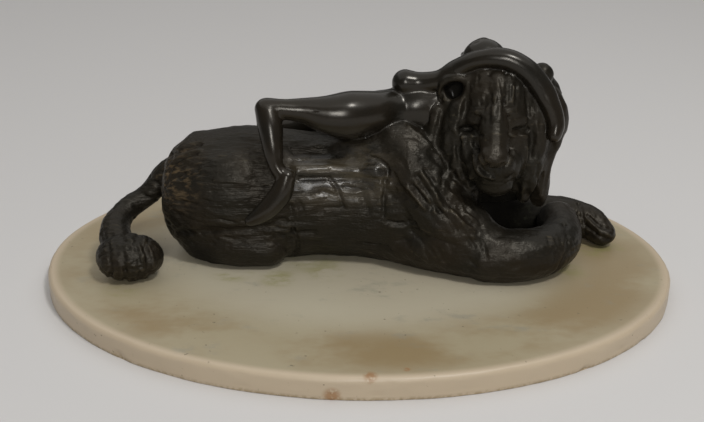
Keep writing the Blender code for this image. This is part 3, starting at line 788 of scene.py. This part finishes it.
def mark_woman(made, tree):
    """Store on each point whether it belongs to the smooth woman, from 0 to 1."""
    near = made.data.attributes.new("woman", "FLOAT", "POINT")
    values = np.zeros(len(made.data.vertices), np.float32)
    for index, vertex in enumerate(made.data.vertices):
        hit = tree.find_nearest(vertex.co, WOMAN_REACH)
        if hit[0]:
            values[index] = 1 - hit[3] / WOMAN_REACH
    near.data.foreach_set("value", values)


def mark_relief(made):
    """Store on each point how far it stands above (1) or below (0) its softened surroundings."""
    points, normals = read_skin(made)
    bm = bmesh.new()
    bm.from_mesh(made.data)
    for _ in range(RELIEF_SOFTENING):
        bmesh.ops.smooth_vert(bm, verts=bm.verts, factor=0.5, use_axis_x=True, use_axis_y=True,
                              use_axis_z=True)
    softened = np.array([vertex.co for vertex in bm.verts])
    bm.free()
    height = ((points - softened) * normals).sum(axis=1)
    relief = made.data.attributes.new("relief", "FLOAT", "POINT")
    relief.data.foreach_set("value", np.clip(0.5 + height / RELIEF_SPAN, 0, 1).astype(np.float32))


def sculpt_bronze(fine_grain, triangles):
    """Fuse and carve the lion and the woman by themselves, then join them."""
    masses = fuse("masses", [lion_body, lion_haunches, lion_shoulders, lion_neck, lion_mane],
                  [], MASS_GRAIN, MASS_SMOOTHING)
    lion = fuse("lion", [lion_skull, lion_muzzle, lion_brow, lion_ears, lion_forelegs, lion_tail],
                [masses], fine_grain, LION_SMOOTHING)
    carve(lion, mane_strokes() + body_strokes())
    lion_marks(lion)
    body = fuse("body", [woman_trunk, woman_near_leg, woman_far_leg, woman_near_arm,
                         woman_far_arm, woman_head], [], fine_grain, BODY_SMOOTHING)
    carve(body, woman_sockets())
    woman = fuse("woman", [woman_face, woman_fingers], [body], fine_grain * WOMAN_GRAIN,
                 WOMAN_SMOOTHING)
    carve(woman, woman_strokes())
    woman_marks(woman)
    woman_tree = skin_tree(woman)
    group = fuse("woman_and_lion", [], [lion, woman], fine_grain, 0)
    mark_relief(group)
    reduce_to(group, triangles)
    mark_woman(group, woman_tree)
    stand_flat(group)
    return group


# Stone

def cut_slab(rim_round):
    """The oval slab: an upright edge, a rounded rim and a worn foot."""
    low, high = Vector(MARBLE_LOW), Vector(MARBLE_HIGH)
    size = high - low
    bm = bmesh.new()
    oval = Matrix.Translation((0, 0, low.z)) @ Matrix.Diagonal((size.x / 2, size.y / 2, 1, 1))
    bmesh.ops.create_circle(bm, segments=SLAB_CORNERS, radius=1, cap_ends=True, matrix=oval)
    raised = bmesh.ops.extrude_face_region(bm, geom=bm.faces[:])["geom"]
    top = [item for item in raised if isinstance(item, bmesh.types.BMVert)]
    bmesh.ops.translate(bm, verts=top, vec=(0, 0, size.z))
    bmesh.ops.recalc_face_normals(bm, faces=bm.faces)
    middle = low.z + size.z / 2
    rim = [e for e in bm.edges if all(v.co.z > middle for v in e.verts)]
    bmesh.ops.bevel(bm, geom=rim, offset=rim_round, segments=SLAB_ROUND_STEPS, profile=0.5,
                    affect="EDGES", material=-1)
    foot = [e for e in bm.edges if all(v.co.z < low.z + SLAB_FOOT / 2 for v in e.verts)]
    bmesh.ops.bevel(bm, geom=foot, offset=SLAB_FOOT, segments=2, profile=0.5, affect="EDGES",
                    material=-1)
    wall = [e for e in bm.edges if abs(e.verts[0].co.z - e.verts[1].co.z) > SLAB_WALL_STEP * 2]
    bmesh.ops.subdivide_edges(bm, edges=wall, cuts=5, use_grid_fill=True)
    top = [f for f in bm.faces if f.normal.z > 0.999 and len(f.verts) > 4]
    for _ in range(SLAB_TOP_RINGS):
        bmesh.ops.inset_region(bm, faces=top, thickness=SLAB_TOP_STEP, use_even_offset=True)
    return bm


def wear_slab(made):
    """Make the sawn edge uneven and knock small chips out of it. Level faces stay level."""
    points, normals = read_skin(made)
    side = 1 - soft_step(np.abs(normals[:, 2]), 0.75, 0.98)
    uneven = 0.9 * (grain(points, (0.03, 0.03, 0.02), 11) - 0.5)
    uneven += 0.5 * (grain(points, (0.008, 0.008, 0.006), 12) - 0.5)
    chips = soft_step(grain(points, (0.011, 0.011, 0.005), 13), 0.74, 0.92)
    low = 1 - soft_step(points[:, 2], 0.002, 0.008)
    push = side * (uneven - 0.35 - 1.6 * chips * low - 0.5 * chips) * 0.001
    push_skin(made, points, normals * (1, 1, 0), np.minimum(push, 0))


# Shader tools

class Link:
    """A shader socket that arithmetic can be written on."""

    def __init__(self, painter, socket):
        self.painter = painter
        self.socket = socket

    def _math(self, operation, *values):
        return self.painter.node("ShaderNodeMath", {"operation": operation},
                                 dict(enumerate(values)))

    def __add__(self, other):
        return self._math("ADD", self, other)

    __radd__ = __add__

    def __sub__(self, other):
        return self._math("SUBTRACT", self, other)

    def __rsub__(self, other):
        return self._math("SUBTRACT", other, self)

    def __mul__(self, other):
        return self._math("MULTIPLY", self, other)

    __rmul__ = __mul__

    def __truediv__(self, other):
        return self._math("DIVIDE", self, other)

    def __rtruediv__(self, other):
        return self._math("DIVIDE", other, self)

    def __pow__(self, other):
        return self._math("POWER", self, other)

    def step(self, start, end):
        """0 before the start and 1 after the end, with a soft rise between."""
        return self.painter.node("ShaderNodeMapRange", {"interpolation_type": "SMOOTHSTEP"},
                                 {"Value": self, "From Min": start, "From Max": end})


class Painter:
    """Builds a material's nodes."""

    def __init__(self, name):
        self.material = bpy.data.materials.new(name)
        self.material.use_nodes = True
        self.tree = self.material.node_tree
        self.shader = self.tree.nodes["Principled BSDF"]

    def node(self, kind, settings, inputs, output=0):
        made = self.tree.nodes.new(kind)
        for name, value in settings.items():
            setattr(made, name, value)
        for key, value in inputs.items():
            self.connect(value, made.inputs[key])
        return Link(self, made.outputs[output])

    def connect(self, value, socket):
        if isinstance(value, Link):
            self.tree.links.new(value.socket, socket)
        else:
            socket.default_value = value

    def place(self):
        return self.node("ShaderNodeTexCoord", {}, {}, "Object")

    def noise(self, place, scale, detail=3.0, stretch=(1, 1, 1), rough=0.5):
        laid = self.node("ShaderNodeMapping", {}, {"Vector": place, "Scale": stretch})
        return self.node("ShaderNodeTexNoise", {}, {"Vector": laid, "Scale": scale,
                                                    "Detail": detail, "Roughness": rough})

    def blend(self, share, first, second):
        """Mix two colours."""
        return self.node("ShaderNodeMix", {"data_type": "RGBA"}, {0: share, 6: first, 7: second}, 2)

    def near(self, place, spot, inner, outer):
        """1 within the inner distance of a spot and 0 outside the outer distance."""
        gap = self.node("ShaderNodeVectorMath", {"operation": "DISTANCE"}, {0: place, 1: spot},
                        "Value")
        return 1 - gap.step(inner, outer)

    def number(self, name):
        return self.node("ShaderNodeAttribute", {"attribute_name": name}, {}, "Fac")

    def bump(self, height, distance, strength, below=None):
        inputs = {"Height": height, "Distance": distance, "Strength": strength}
        if below:
            inputs["Normal"] = below
        return self.node("ShaderNodeBump", {}, inputs)

    def finish(self, **inputs):
        for name, value in inputs.items():
            self.connect(value, self.shader.inputs[name.replace("_", " ").title()])
        return self.material


def colour(values):
    return (*values, 1.0)


def patina(settings):
    """Dark brown patina under wax, rubbed on the high places and dull in the hollows, with shade painted
    into a few deep places and a highlight painted on the polished flank.
    """
    paint = Painter("dark_patina")
    place = paint.place()
    along = paint.node("ShaderNodeSeparateXYZ", {}, {0: place}, "X")
    woman = paint.number("woman").step(0.35, 0.8)
    relief = paint.number("relief")
    cloud = paint.noise(place, 22, 4)
    fleck = paint.noise(place, 260, 3)
    drag = paint.noise(place, 60, 4, (0.18, 1.6, 1.6))
    line = paint.noise(place, 330, 3, (0.09, 1, 1), 0.6)
    high = relief.step(0.56, 0.8)
    deep = 1 - relief.step(0.22, 0.46)
    tone = paint.blend(cloud.step(0.35, 0.65), colour(settings.patina), colour(settings.patina_warm))
    rub = high * (0.22 + 0.4 * drag.step(0.45, 0.7)) * (1 - 0.5 * woman)
    rub = rub + 0.35 * line.step(0.58, 0.72) * drag.step(0.48, 0.62) * (1 - woman)
    tone = paint.blend(rub, tone, colour(settings.rubbed))
    worn = paint.near(place, TAIL_ROOT, *WORN_REACH) * line.step(0.46, 0.66)
    tone = paint.blend(worn * 0.7, tone, colour(settings.worn))
    tone = paint.blend(deep * 0.75, tone, colour(settings.hollow))
    # The polished spots on the flank: a wax coat and lower roughness, which are real polish, and a lighter
    # colour, which is a painted highlight
    polish_and_highlight = sum(paint.near(place, spot, *POLISH_AND_HIGHLIGHT_REACH) for spot in POLISHED_AND_HIGHLIGHT_SPOTS)
    tone = paint.blend(0.45 * polish_and_highlight * drag.step(0.4, 0.6), tone, colour(settings.rubbed))
    # Painted shade: the dull black laid on a few spots under the woman's arm, under the lion's chin, low on
    # the haunch and under the thigh, where shade falls, and rougher there
    painted_shade = sum(paint.near(place, spot, reach * 0.5, reach) for spot, reach in PAINTED_SHADE_SPOTS)
    tone = paint.blend(painted_shade, tone, colour(settings.hollow))
    green = cloud.step(0.58, 0.78) * fleck.step(0.5, 0.7) * 0.35
    tone = paint.blend(green, tone, colour(settings.verdigris))
    rough = settings.roughness + 0.15 * (1 - woman) - 0.14 * polish_and_highlight
    rough = rough + 0.14 * (fleck - 0.5) + 0.12 * deep + 0.4 * painted_shade
    bump = paint.bump(drag + 0.4 * fleck, 0.0006, 0.35 * (1 - woman) + 0.04)
    long_fur = (1 - woman) * (0.2 + 0.7 * (1 - along.step(0.0, 0.05)))
    bump = paint.bump(line, 0.0016, long_fur, bump)
    bump = paint.bump(fleck, 0.0006, 0.6 * (1 - woman) + 0.08, bump)
    shader = paint.shader.inputs
    shader["Metallic"].default_value = settings.metallic
    shader["Specular IOR Level"].default_value = settings.shine
    shader["Specular Tint"].default_value = colour(settings.sheen)
    shader["Coat Roughness"].default_value = settings.coat_roughness
    coat = 0.3 * woman + 0.6 * polish_and_highlight
    return paint.finish(base_color=tone, roughness=rough, normal=bump, coat_weight=coat)


def stone(settings):
    """Cream marble with grey flecks, ochre stains inside the rim and a paler sawn edge."""
    paint = Painter("stained_marble")
    place = paint.place()
    split = paint.node("ShaderNodeSeparateXYZ", {}, {0: place})
    x, y, z = (Link(paint, output) for output in split.socket.node.outputs)
    half_x, half_y = MARBLE_HIGH[0], MARBLE_HIGH[1]
    ring = ((x / half_x) ** 2 + (y / half_y) ** 2) ** 0.5
    cloud = paint.noise(place, 7, 5, (1, 1.6, 1), 0.6)
    wisp = paint.noise(place, 26, 6, (1, 1.8, 1), 0.65)
    fine = paint.noise(place, 320, 3)
    tone = paint.blend(cloud.step(0.35, 0.65), colour(settings.ground), colour(settings.ground_warm))
    tone = paint.blend((1 - ring.step(0.5, 0.8)) * 0.6, tone, colour(settings.pale))
    front = 1 - y.step(-0.09, 0.02)
    band = ring.step(0.62, 0.8) * (1 - ring.step(0.88, 0.97)) * (0.35 + 0.65 * front)
    tone = paint.blend(band * cloud.step(0.4, 0.6) * 0.8, tone, colour(settings.stain))
    tone = paint.blend(wisp.step(0.56, 0.72) * 0.45, tone, colour(settings.vein))
    tone = paint.blend(ring.step(0.955, 0.985) * 0.85, tone, colour(settings.edge))
    tone = paint.blend((1 - z.step(0.0005, 0.004)) * fine.step(0.35, 0.6) * 0.7, tone,
                       colour(settings.stain))
    for spot, reach, share in BLOOM_SPOTS:
        bloom = paint.near(place, spot, reach * 0.2, reach) * wisp.step(0.38, 0.56)
        tone = paint.blend(bloom * share, tone, colour(settings.bloom))
    for spot, reach in RUST_SPOTS:
        rust = paint.near(place, spot, reach * 0.3, reach) * fine.step(0.3, 0.5)
        tone = paint.blend(rust * 0.8, tone, colour(settings.rust))
    speck = paint.noise(place, 210, 2).step(0.69, 0.74) * wisp.step(0.42, 0.58)
    tone = paint.blend(speck * 0.7, tone, colour(settings.speck))
    bump = paint.bump(fine + wisp, 0.0003, 0.25)
    rough = settings.roughness + 0.2 * (wisp - 0.5)
    return paint.finish(base_color=tone, roughness=rough, normal=bump)


def plain(name, tint, roughness):
    paint = Painter(name)
    return paint.finish(base_color=colour(tint), roughness=roughness)


def wear(made, material):
    made.data.materials.clear()
    made.data.materials.append(material)
    made.data.shade_smooth()


# The add-on

def colour_setting(name, description, default):
    return bpy.props.FloatVectorProperty(name=name, description=description, subtype="COLOR",
                                         default=default)


def share_setting(name, description, default):
    return bpy.props.FloatProperty(name=name, description=description, subtype="FACTOR",
                                   default=default, min=0, max=1)


class BronzeSettings(bpy.types.PropertyGroup):
    fine_grain: bpy.props.FloatProperty(
        name="Clay grain", description="Grid that the clay is fused on, in millimetres",
        default=1.0, min=0.8, max=3.0)
    triangles: bpy.props.IntProperty(
        name="Triangles", description="Triangles that the finished skin keeps", default=186000)
    patina: colour_setting("Patina", "Cold brown-black of the patina", (0.0095, 0.0083, 0.0060))
    patina_warm: colour_setting("Warm patina", "Warmer brown of the patina", (0.0145, 0.0108, 0.0068))
    # Rubbed metal on the high places, and also the painted highlight on the flank's polished spots
    rubbed: colour_setting("Rubbed", "Metal where hands have rubbed it", (0.090, 0.072, 0.045))
    # The patina's black in the grooves, and also the painted shade laid on a few deep places
    hollow: colour_setting("Hollows", "Dull black in the grooves", (0.0035, 0.0030, 0.0022))
    verdigris: colour_setting("Verdigris", "Faint green-grey bloom", (0.040, 0.042, 0.026))
    worn: colour_setting("Worn", "Ochre and red where the tail leaves the rump", (0.115, 0.078, 0.040))
    sheen: colour_setting("Sheen", "Tint of the wax's shine", (1.0, 0.93, 0.80))
    shine: share_setting("Shine", "Strength of the wax's shine", 0.28)
    coat_roughness: share_setting("Wax roughness", "Of the wax on the smooth places", 0.26)
    roughness: share_setting("Roughness", "Of the bare patina", 0.24)
    metallic: share_setting("Metallic", "How far metal shows through the patina", 0.1)


class MarbleSettings(bpy.types.PropertyGroup):
    rim_round: bpy.props.FloatProperty(
        name="Rim round", description="Radius of the rounded upper edge", default=0.0045,
        unit="LENGTH")
    ground: colour_setting("Ground", "Cream of the stone", (0.37, 0.315, 0.205))
    ground_warm: colour_setting("Warm ground", "Warmer patches of the stone", (0.32, 0.255, 0.155))
    stain: colour_setting("Stain", "Ochre stain", (0.27, 0.195, 0.095))
    vein: colour_setting("Vein", "Grey flecks", (0.26, 0.25, 0.20))
    pale: colour_setting("Pale middle", "Paler stone towards the middle", (0.54, 0.50, 0.39))
    bloom: colour_setting("Bloom", "Yellow-green left by the bronze", (0.27, 0.25, 0.09))
    rust: colour_setting("Rust", "Orange-brown spots on the rim", (0.30, 0.15, 0.055))
    speck: colour_setting("Specks", "Small dark specks", (0.10, 0.08, 0.045))
    edge: colour_setting("Edge", "Paler rounded edge", (0.52, 0.42, 0.30))
    roughness: share_setting("Roughness", "Of the honed stone", 0.42)


class StageSettings(bpy.types.PropertyGroup):
    floor: colour_setting("Floor", "Pale floor under the sculpture", (0.62, 0.605, 0.59))
    key_power: bpy.props.FloatProperty(
        name="Key light", description="Power of the soft light high in front", default=22.0,
        unit="POWER")
    front_power: bpy.props.FloatProperty(
        name="Front light", description="Power of the low soft light in front", default=24.0,
        unit="POWER")
    top_power: bpy.props.FloatProperty(
        name="Ceiling light", description="Power of the broad light overhead", default=70.0,
        unit="POWER")
    sky: bpy.props.FloatProperty(
        name="Surrounding light", description="Strength of the even light", default=0.12)


class SCULPTURE_OT_cast_bronze(bpy.types.Operator):
    """Model the woman and the lion as one cast"""
    bl_idname = "sculpture.cast_bronze"
    bl_label = "Cast the bronze"

    def execute(self, context):
        settings = context.scene.bronze_settings
        group = sculpt_bronze(settings.fine_grain, settings.triangles)
        wear(group, patina(settings))
        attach(group, "root")
        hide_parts("bronze_woman_and_lion")
        return {"FINISHED"}


class SCULPTURE_OT_cut_marble(bpy.types.Operator):
    """Cut the oval slab and wear its edge"""
    bl_idname = "sculpture.cut_marble"
    bl_label = "Cut the marble"

    def execute(self, context):
        settings = context.scene.marble_settings
        slab = clay_object("marble_oval", cut_slab(settings.rim_round))
        wear_slab(slab)
        wear(slab, stone(settings))
        slab.data.set_sharp_from_angle(angle=np.radians(SHARP_ANGLE))
        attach(slab, "root")
        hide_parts("marble_base")
        return {"FINISHED"}


class SCULPTURE_OT_set_stage(bpy.types.Operator):
    """Lay the pale floor and set the lights and the camera"""
    bl_idname = "sculpture.set_stage"
    bl_label = "Set the stage"

    def execute(self, context):
        settings = context.scene.stage_settings
        floor = lay_floor()
        wear(floor, plain("pale_floor", settings.floor, FLOOR_ROUGHNESS))
        light_stage(context.scene, settings)
        place_camera(context.scene)
        return {"FINISHED"}


def lay_floor():
    bm = bmesh.new()
    bmesh.ops.create_grid(bm, x_segments=1, y_segments=1, size=FLOOR_HALF)
    return clay_object("floor", bm)


def add_light(scene, name, place, aim, size, power):
    data = bpy.data.lights.new(name, "AREA")
    data.shape = "RECTANGLE"
    data.size, data.size_y = size
    data.energy = power
    light = bpy.data.objects.new(name, data)
    scene.collection.objects.link(light)
    away = Vector(place) - Vector(aim)
    light.matrix_world = Matrix.Translation(place) @ away.to_track_quat("Z", "Y").to_matrix().to_4x4()


def light_stage(scene, settings):
    add_light(scene, "key", KEY_PLACE, LIGHT_AIM, KEY_SIZE, settings.key_power)
    add_light(scene, "front", FRONT_PLACE, LIGHT_AIM, FRONT_SIZE, settings.front_power)
    add_light(scene, "ceiling", TOP_PLACE, (*TOP_PLACE[:2], 0), TOP_SIZE, settings.top_power)
    world = bpy.data.worlds.new("even_light")
    world.use_nodes = True
    ground = world.node_tree.nodes["Background"]
    ground.inputs["Color"].default_value = colour(SKY_TINT)
    ground.inputs["Strength"].default_value = settings.sky
    scene.world = world
    scene.view_settings.view_transform = "Standard"


def place_camera(scene):
    """The photograph's viewpoint: a little above the group, and turned very slightly."""
    data = bpy.data.cameras.new("viewpoint")
    data.sensor_width = SENSOR_WIDTH
    data.lens = FOCAL_PIXELS / PHOTO_WIDTH * SENSOR_WIDTH
    data.clip_start = CAMERA_NEAR
    camera = bpy.data.objects.new("viewpoint", data)
    scene.collection.objects.link(camera)
    pitch, roll = np.radians(CAMERA_PITCH), np.radians(CAMERA_ROLL)
    away = Vector((0, np.cos(pitch), -np.sin(pitch))) * -CAMERA_DISTANCE
    camera.matrix_world = (Matrix.Translation(Vector(CAMERA_AIM) + away)
                           @ Matrix.Rotation(np.pi / 2 - pitch, 4, "X")
                           @ Matrix.Rotation(roll, 4, "Z"))
    scene.camera = camera


class SCULPTURE_PT_panel(bpy.types.Panel):
    bl_idname = "SCULPTURE_PT_panel"
    bl_label = "Woman and lion"
    bl_space_type = "VIEW_3D"
    bl_region_type = "UI"
    bl_category = "Sculpture"

    def draw(self, context):
        scene = context.scene
        for settings, operator in ((scene.bronze_settings, "sculpture.cast_bronze"),
                                   (scene.marble_settings, "sculpture.cut_marble"),
                                   (scene.stage_settings, "sculpture.set_stage")):
            column = self.layout.column()
            for name in settings.__annotations__:
                column.prop(settings, name)
            column.operator(operator)


CLASSES = (BronzeSettings, MarbleSettings, StageSettings, SCULPTURE_OT_cast_bronze,
           SCULPTURE_OT_cut_marble, SCULPTURE_OT_set_stage, SCULPTURE_PT_panel)
SETTINGS = {"bronze_settings": BronzeSettings, "marble_settings": MarbleSettings,
            "stage_settings": StageSettings}


def register():
    for cls in CLASSES:
        bpy.utils.register_class(cls)
    for name, group in SETTINGS.items():
        setattr(bpy.types.Scene, name, bpy.props.PointerProperty(type=group))


def unregister():
    for name in SETTINGS:
        delattr(bpy.types.Scene, name)
    for cls in reversed(CLASSES):
        bpy.utils.unregister_class(cls)


def main():
    register()
    bpy.ops.sculpture.set_stage()
    bpy.ops.sculpture.cut_marble()
    bpy.ops.sculpture.cast_bronze()


if __name__ == "__main__":
    main()
